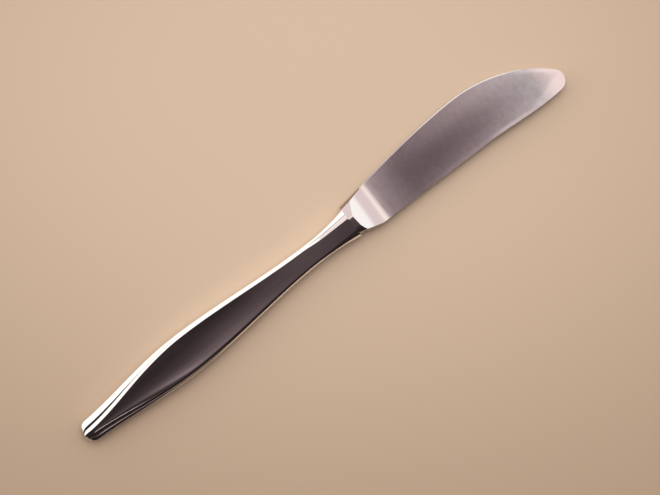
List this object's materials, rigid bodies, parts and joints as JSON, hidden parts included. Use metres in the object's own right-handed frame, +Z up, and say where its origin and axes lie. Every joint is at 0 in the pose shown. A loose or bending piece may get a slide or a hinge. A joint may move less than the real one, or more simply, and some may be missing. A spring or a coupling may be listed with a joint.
{
  "type": "dessert knife",
  "caption": "Dessert knife with a rounded, full-bellied steel blade, a scooped bolster and a faceted hollow silver handle that narrows at the neck.",
  "frame": {"origin": "on the handle's back panel, on the axis, under the widest part of the grip", "axes": "+X from the butt to the blade's tip, +Y towards the cutting edge, +Z up through the front panel"},
  "size_m": [0.205, 0.0207, 0.0068],
  "materials": {
    "blade_steel": "fine satin on the blade's faces, polished at the bolster",
    "silver": "mirror polish",
    "solder": "polished flush",
    "cement": "rough cast"
  },
  "bodies": {
    "root": {"blade": "blade_steel", "front_shell": "silver", "back_shell": "silver", "seam_solder": "solder", "cement_core": "cement"}
  },
  "joints": []
}
